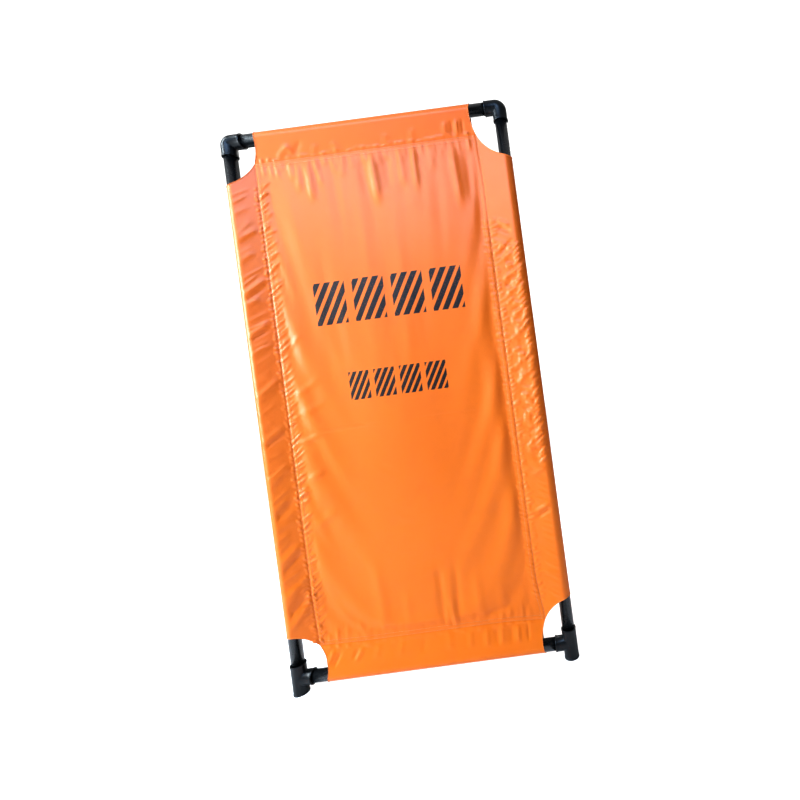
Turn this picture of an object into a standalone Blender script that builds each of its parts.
"""Welding curtain screen: a coated-cloth cover stretched on a rectangular frame of plastic pipe.

Four cut pipes push into two elbows at the top and two tees at the bottom, and the lower legs of the
tees are the feet. The cover is sewn cloth: a panel with a sleeve along each side, one round each pipe,
and its corners are scooped out so that the fittings stay bare.

Units are metres. X runs along the rails, Z is up and the front of the curtain faces -Y. The origin is
on the floor, midway between the uprights.
"""

import math

import bmesh
import bpy
from mathutils import Vector

# Frame, measured between pipe axes.
FRAME_WIDTH = 0.900
FRAME_HEIGHT = 1.780

# Pipe.
PIPE_DIAMETER = 0.040
PIPE_WALL = 0.003

# Fittings. A socket takes the pipe as far as its stop, which stands clear of the crossing bore.
STOP_STEP = 0.002
SOCKET_DEPTH = 0.026
SOCKET_CLEARANCE = 0.0003
SOCKET_WALL = 0.0032
RIM_WIDTH = 0.0045
RIM_HEIGHT = 0.0009
RIM_SHOULDER = 0.0008
ELBOW_BEND_RADIUS = 0.014
BRANCH_STEP = 0.0004
STOP_GAP = 0.0003

# Cover. A seam's inset is its distance from the axis of the pipe that its sleeve goes round.
CLOTH = 0.0008
SLEEVE_EASE = 0.0005
LEFT_SEAM_INSET = 0.075
RIGHT_SEAM_INSET = 0.084
TOP_SEAM_INSET = 0.080
BOTTOM_SEAM_INSET = 0.094
SEAM_ALLOWANCE = 0.012
SEAM_GAP = 0.0003

# Scooped corners: how far the centre of the round cut lies outside the upright's axis, how far it
# lies inside the rail's axis, and the radius of the cut.
TOP_LEFT_CUT = (0.050, 0.006, 0.1465)
TOP_RIGHT_CUT = (0.057, 0.020, 0.157)
BOTTOM_LEFT_CUT = (0.014, 0.022, 0.121)
BOTTOM_RIGHT_CUT = (0.055, 0.020, 0.143)

# Sewing thread.
THREAD_DIAMETER = 0.0012
THREAD_GAP = 0.0004
STITCH_SETBACK = 0.005
EDGE_SETBACK = 0.004
EDGE_THREAD_END = 0.7
THREAD_SPACING = 0.003

# Facets.
PIPE_SIDES = 48
FITTING_SIDES = 36
ELBOW_STEPS = 8
SLEEVE_STEPS = 24
CUT_SIDES = 96
EDGE_POINTS = 48
CUTTER_OVERRUN = 0.010
MERGE_DISTANCE = 1e-6
SMOOTH_ANGLE = math.radians(32)

# Colours, in linear light, and roughness.
PVC_COLOUR = (0.018, 0.021, 0.024)
PVC_ROUGHNESS = 0.32
CLOTH_COLOUR = (0.86, 0.20, 0.025)
CLOTH_ROUGHNESS = 0.42
THREAD_COLOUR = (0.80, 0.26, 0.06)
THREAD_ROUGHNESS = 0.70

# Sizes that follow from those above.
PIPE_RADIUS = PIPE_DIAMETER / 2
BORE_RADIUS = PIPE_RADIUS - PIPE_WALL
SOCKET_RADIUS = PIPE_RADIUS + SOCKET_CLEARANCE
BODY_RADIUS = SOCKET_RADIUS + SOCKET_WALL
RIM_RADIUS = BODY_RADIUS + RIM_HEIGHT
CENTRE_TO_STOP = PIPE_RADIUS + STOP_STEP
REACH = CENTRE_TO_STOP + SOCKET_DEPTH
BOTTOM_AXIS_Z = REACH
TOP_AXIS_Z = BOTTOM_AXIS_Z + FRAME_HEIGHT
LEFT_AXIS_X = -FRAME_WIDTH / 2
RIGHT_AXIS_X = FRAME_WIDTH / 2
LEFT_SEAM_X = LEFT_AXIS_X + LEFT_SEAM_INSET
RIGHT_SEAM_X = RIGHT_AXIS_X - RIGHT_SEAM_INSET
TOP_SEAM_Z = TOP_AXIS_Z - TOP_SEAM_INSET
BOTTOM_SEAM_Z = BOTTOM_AXIS_Z + BOTTOM_SEAM_INSET
SLEEVE_RADIUS = PIPE_RADIUS + SLEEVE_EASE + CLOTH
THREAD_RADIUS = THREAD_DIAMETER / 2
THREAD_LIFT = THREAD_GAP + THREAD_RADIUS

INWARD = {"left": 1, "right": -1, "bottom": 1, "top": -1}
SEAM_INSETS = {
    "left": LEFT_SEAM_INSET,
    "right": RIGHT_SEAM_INSET,
    "top": TOP_SEAM_INSET,
    "bottom": BOTTOM_SEAM_INSET,
}
AXES = {"left": LEFT_AXIS_X, "right": RIGHT_AXIS_X, "bottom": BOTTOM_AXIS_Z, "top": TOP_AXIS_Z}
CORNER_CUTS = {
    ("top", "left"): TOP_LEFT_CUT,
    ("top", "right"): TOP_RIGHT_CUT,
    ("bottom", "left"): BOTTOM_LEFT_CUT,
    ("bottom", "right"): BOTTOM_RIGHT_CUT,
}


def clear_scene():
    for obj in list(bpy.data.objects):
        bpy.data.objects.remove(obj)


def make_material(name, colour, roughness):
    material = bpy.data.materials.new(name)
    material.use_nodes = True
    shader = material.node_tree.nodes["Principled BSDF"]
    shader.inputs["Base Color"].default_value = (*colour, 1.0)
    shader.inputs["Roughness"].default_value = roughness
    shader.inputs["Metallic"].default_value = 0.0
    return material


def add_object(name, data, material, location=(0, 0, 0), turn=(0, 0, 0)):
    obj = bpy.data.objects.new(name, data)
    bpy.context.scene.collection.objects.link(obj)
    obj.location = location
    obj.rotation_euler = turn
    if not data.materials:
        data.materials.append(material)
    return obj


def mesh_from(name, bm):
    """A smooth-shaded mesh of bm, with its faces pointing out."""
    bmesh.ops.recalc_face_normals(bm, faces=bm.faces)
    mesh = bpy.data.meshes.new(name)
    bm.to_mesh(mesh)
    bm.free()
    mesh.shade_smooth()
    mesh.set_sharp_from_angle(angle=SMOOTH_ANGLE)
    return mesh


def skin_loop(bm, rings):
    """Joins each ring of vertices to the next, and the last to the first."""
    for ring, following in zip(rings, rings[1:] + rings[:1]):
        count = len(ring)
        for i in range(count):
            j = (i + 1) % count
            bm.faces.new((ring[i], ring[j], following[j], following[i]))


def turned_ring(bm, radius, height, sides):
    """A ring of vertices round Z."""
    angles = [2 * math.pi * i / sides for i in range(sides)]
    return [bm.verts.new((radius * math.cos(a), radius * math.sin(a), height)) for a in angles]


def turned_solid(name, profile, sides):
    """A solid turned round Z from (radius, height) points, bottom to top, with flat ends."""
    bm = bmesh.new()
    rings = [turned_ring(bm, radius, height, sides) for radius, height in profile]
    for ring, following in zip(rings, rings[1:]):
        for i in range(sides):
            j = (i + 1) % sides
            bm.faces.new((ring[i], ring[j], following[j], following[i]))
    bm.faces.new(rings[0])
    bm.faces.new(rings[-1])
    return mesh_from(name, bm)


def add_cutter(name, mesh, location, turn, parent=None):
    """A helper for a Boolean, which isn't part of the object."""
    cutter = bpy.data.objects.new(name, mesh)
    bpy.context.scene.collection.objects.link(cutter)
    cutter.parent = parent
    cutter.location = location
    cutter.rotation_euler = turn
    cutter.hide_render = True
    cutter.display_type = "WIRE"
    return cutter


def add_boolean(obj, other, operation):
    modifier = obj.modifiers.new(f"{operation.lower()}_{other.name}", "BOOLEAN")
    modifier.operation = operation
    modifier.object = other
    modifier.solver = "EXACT"


# Pipes


def pipe_mesh(name, length):
    """A plain cut pipe along Z, centred."""
    bm = bmesh.new()
    half = length / 2
    profile = [
        (PIPE_RADIUS, -half),
        (PIPE_RADIUS, half),
        (BORE_RADIUS, half),
        (BORE_RADIUS, -half),
    ]
    skin_loop(bm, [turned_ring(bm, radius, height, PIPE_SIDES) for radius, height in profile])
    return mesh_from(name, bm)


def cut_length(between_axes):
    """The pipe that reaches from socket stop to socket stop."""
    return between_axes - 2 * (CENTRE_TO_STOP + STOP_GAP)


def make_pipes(material):
    middle_z = (TOP_AXIS_Z + BOTTOM_AXIS_Z) / 2
    rail = pipe_mesh("rail", cut_length(FRAME_WIDTH))
    upright = pipe_mesh("upright", cut_length(FRAME_HEIGHT))
    along_x = (0, math.pi / 2, 0)
    add_object("top_pipe", rail, material, (0, 0, TOP_AXIS_Z), along_x)
    add_object("bottom_pipe", rail, material, (0, 0, BOTTOM_AXIS_Z), along_x)
    add_object("left_upright", upright, material, (LEFT_AXIS_X, 0, middle_z))
    add_object("right_upright", upright, material, (RIGHT_AXIS_X, 0, middle_z))


# Elbows. The arms run along +X and -Z from the corner.


def arm_ring(bm, arm, distance, radius):
    """A ring round one arm. The angle starts on the side away from the other arm."""
    ring = []
    for i in range(FITTING_SIDES):
        angle = 2 * math.pi * i / FITTING_SIDES
        out = radius * math.cos(angle)
        side = radius * math.sin(angle)
        spot = (distance, side, out) if arm == "x" else (-out, side, -distance)
        ring.append(bm.verts.new(spot))
    return ring


def bend_ring(bm, angle_round_bend, radius):
    """A ring on the bend. Points past the bend's centre stay on the mitre where the arms meet."""
    ring = []
    for i in range(FITTING_SIDES):
        angle = 2 * math.pi * i / FITTING_SIDES
        out = ELBOW_BEND_RADIUS + radius * math.cos(angle)
        side = radius * math.sin(angle)
        if out > 0:
            x = ELBOW_BEND_RADIUS - out * math.sin(angle_round_bend)
            z = -ELBOW_BEND_RADIUS + out * math.cos(angle_round_bend)
        else:
            x = ELBOW_BEND_RADIUS - out
            z = -x
        ring.append(bm.verts.new((x, side, z)))
    return ring


def elbow_mesh():
    bm = bmesh.new()
    outside = (
        (REACH, RIM_RADIUS),
        (REACH - RIM_WIDTH, RIM_RADIUS),
        (REACH - RIM_WIDTH - RIM_SHOULDER, BODY_RADIUS),
    )
    inside = (
        (CENTRE_TO_STOP, BORE_RADIUS),
        (CENTRE_TO_STOP, SOCKET_RADIUS),
        (REACH, SOCKET_RADIUS),
    )
    turns = [math.pi / 2 * step / ELBOW_STEPS for step in range(ELBOW_STEPS + 1)]
    rings = [arm_ring(bm, "x", distance, radius) for distance, radius in outside]
    rings += [bend_ring(bm, turn, BODY_RADIUS) for turn in turns]
    rings += [arm_ring(bm, "z", distance, radius) for distance, radius in reversed(outside)]
    rings += [arm_ring(bm, "z", distance, radius) for distance, radius in reversed(inside)]
    rings += [bend_ring(bm, turn, BORE_RADIUS) for turn in reversed(turns)]
    rings += [arm_ring(bm, "x", distance, radius) for distance, radius in inside]
    skin_loop(bm, rings)
    bmesh.ops.remove_doubles(bm, verts=bm.verts, dist=MERGE_DISTANCE)
    return mesh_from("elbow", bm)


def make_elbows(material):
    mesh = elbow_mesh()
    add_object("top_left_elbow", mesh, material, (LEFT_AXIS_X, 0, TOP_AXIS_Z))
    add_object("top_right_elbow", mesh, material, (RIGHT_AXIS_X, 0, TOP_AXIS_Z), (0, 0, math.pi))


# Tees. The run is along Z and the branch along +X.


def socket_outside(radius, rim):
    """The outside of one arm from its root to its mouth, as (radius, distance) points."""
    return [
        (radius, REACH - RIM_WIDTH - RIM_SHOULDER),
        (rim, REACH - RIM_WIDTH),
        (rim, REACH),
    ]


def socket_inside(radius):
    """The bore of one arm from its root past its mouth, as (radius, distance) points."""
    return [
        (radius, CENTRE_TO_STOP),
        (SOCKET_RADIUS, CENTRE_TO_STOP),
        (SOCKET_RADIUS, REACH + CUTTER_OVERRUN),
    ]


def both_ways(arm):
    """A run: one arm's profile up, and the same down."""
    return [(radius, -distance) for radius, distance in reversed(arm)] + arm


def tee_meshes():
    branch_body = BODY_RADIUS - BRANCH_STEP
    branch_bore = BORE_RADIUS - BRANCH_STEP
    return {
        "run": turned_solid("tee_run", both_ways(socket_outside(BODY_RADIUS, RIM_RADIUS)), FITTING_SIDES),
        "branch": turned_solid(
            "tee_branch", [(branch_body, 0), *socket_outside(branch_body, RIM_RADIUS)], FITTING_SIDES
        ),
        "run_bore": turned_solid("tee_run_bore", both_ways(socket_inside(BORE_RADIUS)), FITTING_SIDES),
        "branch_bore": turned_solid(
            "tee_branch_bore", [(branch_bore, 0), *socket_inside(branch_bore)], FITTING_SIDES
        ),
    }


def make_tees(material):
    meshes = tee_meshes()
    along_x = (0, math.pi / 2, 0)
    for side, turn in (("left", 0.0), ("right", math.pi)):
        place = (AXES[side], 0, BOTTOM_AXIS_Z)
        tee = add_object(f"bottom_{side}_tee", meshes["run"], material, place, (0, 0, turn))
        branch = add_cutter(f"{side}_branch", meshes["branch"], (0, 0, 0), along_x, tee)
        run_bore = add_cutter(f"{side}_run_bore", meshes["run_bore"], (0, 0, 0), (0, 0, 0), tee)
        branch_bore = add_cutter(f"{side}_branch_bore", meshes["branch_bore"], (0, 0, 0), along_x, tee)
        add_boolean(tee, branch, "UNION")
        add_boolean(tee, run_bore, "DIFFERENCE")
        add_boolean(tee, branch_bore, "DIFFERENCE")


# Cover. A sleeve's section is a teardrop: an arc round the pipe and two flat sides that meet at the
# seam. It is drawn with u measured from the pipe's axis towards the seam and v across the cloth.


def teardrop(radius, tip_u, tip_v):
    """Points (u, v) of a teardrop, from the tip's +v corner round the pipe to its -v corner."""
    tangent = math.atan2(tip_v, tip_u) + math.acos(radius / math.hypot(tip_u, tip_v))
    sweep = 2 * (math.pi - tangent)
    arc = []
    for step in range(SLEEVE_STEPS + 1):
        angle = tangent + sweep * step / SLEEVE_STEPS
        arc.append((radius * math.cos(angle), radius * math.sin(angle)))
    return [(tip_u, tip_v), *arc, (tip_u, -tip_v)]


def sleeve_depth(side, u):
    """How far the front of a sleeve stands out at the distance u from its pipe's axis."""
    tip_u = SEAM_INSETS[side] - SEAM_GAP
    (_, tip_v), (touch_u, touch_v) = teardrop(SLEEVE_RADIUS, tip_u, CLOTH)[:2]
    if u > tip_u:
        return CLOTH / 2
    if u > touch_u:
        return tip_v + (touch_v - tip_v) * (tip_u - u) / (tip_u - touch_u)
    return math.sqrt(max(SLEEVE_RADIUS**2 - u**2, 0.0))


def sleeve_mesh(side, low, high):
    """A sleeve between two places along its pipe, in world axes."""
    tip_u = SEAM_INSETS[side] - SEAM_GAP
    outline = teardrop(SLEEVE_RADIUS, tip_u, CLOTH)
    hollow = teardrop(SLEEVE_RADIUS - CLOTH, tip_u - SEAM_ALLOWANCE, CLOTH / 4)
    bm = bmesh.new()

    def ring(section, along):
        spots = []
        for u, v in section:
            across = AXES[side] + INWARD[side] * u
            spot = (across, v, along) if side in ("left", "right") else (along, v, across)
            spots.append(bm.verts.new(spot))
        return spots

    skin_loop(bm, [ring(outline, low), ring(outline, high), ring(hollow, high), ring(hollow, low)])
    return mesh_from(f"{side}_sleeve", bm)


def panel_mesh():
    """The flat cloth between the four seams."""
    bm = bmesh.new()
    bmesh.ops.create_cube(bm, size=1.0)
    low = Vector((LEFT_SEAM_X + SEAM_GAP, -CLOTH / 2, BOTTOM_SEAM_Z + SEAM_GAP))
    high = Vector((RIGHT_SEAM_X - SEAM_GAP, CLOTH / 2, TOP_SEAM_Z - SEAM_GAP))
    bmesh.ops.scale(bm, vec=high - low, verts=bm.verts)
    bmesh.ops.translate(bm, vec=(low + high) / 2, verts=bm.verts)
    return mesh_from("cover_panel", bm)


def cut_centre(rail, upright):
    """The centre of a corner's round cut, in X and Z."""
    outside, inside, _ = CORNER_CUTS[rail, upright]
    return AXES[upright] - INWARD[upright] * outside, AXES[rail] + INWARD[rail] * inside


def make_corner_cutters():
    cutters = {}
    half = RIM_RADIUS + CUTTER_OVERRUN
    for (rail, upright), (_, _, radius) in CORNER_CUTS.items():
        mesh = turned_solid("corner_cut", [(radius, -half), (radius, half)], CUT_SIDES)
        x, z = cut_centre(rail, upright)
        cutters[rail, upright] = add_cutter(
            f"{rail}_{upright}_cut", mesh, (x, 0, z), (math.pi / 2, 0, 0)
        )
    return cutters


def make_cover(material):
    cutters = make_corner_cutters()
    panel = add_object("cover_panel", panel_mesh(), material)
    for cutter in cutters.values():
        add_boolean(panel, cutter, "DIFFERENCE")
    spans = {
        "left": (BOTTOM_SEAM_Z + SEAM_GAP, TOP_SEAM_Z - SEAM_GAP),
        "right": (BOTTOM_SEAM_Z + SEAM_GAP, TOP_SEAM_Z - SEAM_GAP),
        "top": (LEFT_AXIS_X, RIGHT_AXIS_X),
        "bottom": (LEFT_AXIS_X, RIGHT_AXIS_X),
    }
    for side, (low, high) in spans.items():
        sleeve = add_object(f"{side}_sleeve", sleeve_mesh(side, low, high), material)
        for corner, cutter in cutters.items():
            if side in corner:
                add_boolean(sleeve, cutter, "DIFFERENCE")


# Threads. Each lies on the front of the cloth.


def add_thread(name, points, material):
    curve = bpy.data.curves.new(name, "CURVE")
    curve.dimensions = "3D"
    curve.bevel_depth = THREAD_RADIUS
    curve.bevel_resolution = 1
    curve.use_fill_caps = True
    spline = curve.splines.new("POLY")
    spline.points.add(len(points) - 1)
    for point, spot in zip(spline.points, points):
        point.co = (*spot, 1.0)
    add_object(name, curve, material)


def seam_end(rail, upright, along_rail):
    """Where a seam's stitches end at a corner: a Z on an upright's seam, or an X on a rail's seam.

    They stop short of the edge thread and, on an upright, of the rail's seam too.
    """
    x, z = cut_centre(rail, upright)
    radius = CORNER_CUTS[rail, upright][2] + EDGE_SETBACK + THREAD_SPACING
    if along_rail:
        offset = stitch_line(rail) - z
        return x + INWARD[upright] * math.sqrt(radius**2 - offset**2)
    offset = stitch_line(upright) - x
    past_cut = z + INWARD[rail] * math.sqrt(radius**2 - offset**2)
    past_seam = AXES[rail] + INWARD[rail] * (SEAM_INSETS[rail] + THREAD_SPACING)
    return max(past_cut, past_seam, key=lambda spot: INWARD[rail] * spot)


def stitch_line(side):
    """The X or Z of a seam's stitches, which run on the sleeve's sewn edge."""
    return AXES[side] + INWARD[side] * (SEAM_INSETS[side] - STITCH_SETBACK)


def make_seam_threads(material):
    for side in ("left", "right", "top", "bottom"):
        y = -sleeve_depth(side, SEAM_INSETS[side] - STITCH_SETBACK) - THREAD_LIFT
        place = stitch_line(side)
        if side in ("left", "right"):
            ends = [seam_end(rail, side, along_rail=False) for rail in ("bottom", "top")]
            points = [(place, y, end) for end in ends]
        else:
            ends = [seam_end(side, upright, along_rail=True) for upright in ("left", "right")]
            points = [(end, y, place) for end in ends]
        add_thread(f"{side}_seam_thread", points, material)


def front_of_cover(rail, upright, x, z):
    """The Y of the cover's front face near a corner."""
    from_upright = INWARD[upright] * (x - AXES[upright])
    from_rail = INWARD[rail] * (z - AXES[rail])
    return -max(sleeve_depth(upright, from_upright), sleeve_depth(rail, from_rail))


def make_edge_threads(material):
    """The thread along each scooped corner, from the crown of the rail to the crown of the upright."""
    wrap = EDGE_THREAD_END * SLEEVE_RADIUS
    for (rail, upright), (outside, inside, cut_radius) in CORNER_CUTS.items():
        x, z = cut_centre(rail, upright)
        radius = cut_radius + EDGE_SETBACK
        first = -math.asin((inside + wrap) / radius)
        last = math.acos((outside - wrap) / radius)
        points = []
        for step in range(EDGE_POINTS):
            angle = first + (last - first) * step / (EDGE_POINTS - 1)
            spot_x = x + INWARD[upright] * radius * math.cos(angle)
            spot_z = z + INWARD[rail] * radius * math.sin(angle)
            spot_y = front_of_cover(rail, upright, spot_x, spot_z) - THREAD_LIFT
            points.append((spot_x, spot_y, spot_z))
        add_thread(f"{rail}_{upright}_edge_thread", points, material)


def main():
    clear_scene()
    pvc = make_material("black_pvc", PVC_COLOUR, PVC_ROUGHNESS)
    cloth = make_material("orange_coated_cloth", CLOTH_COLOUR, CLOTH_ROUGHNESS)
    thread = make_material("orange_thread", THREAD_COLOUR, THREAD_ROUGHNESS)
    make_pipes(pvc)
    make_elbows(pvc)
    make_tees(pvc)
    make_cover(cloth)
    make_seam_threads(thread)
    make_edge_threads(thread)


main()
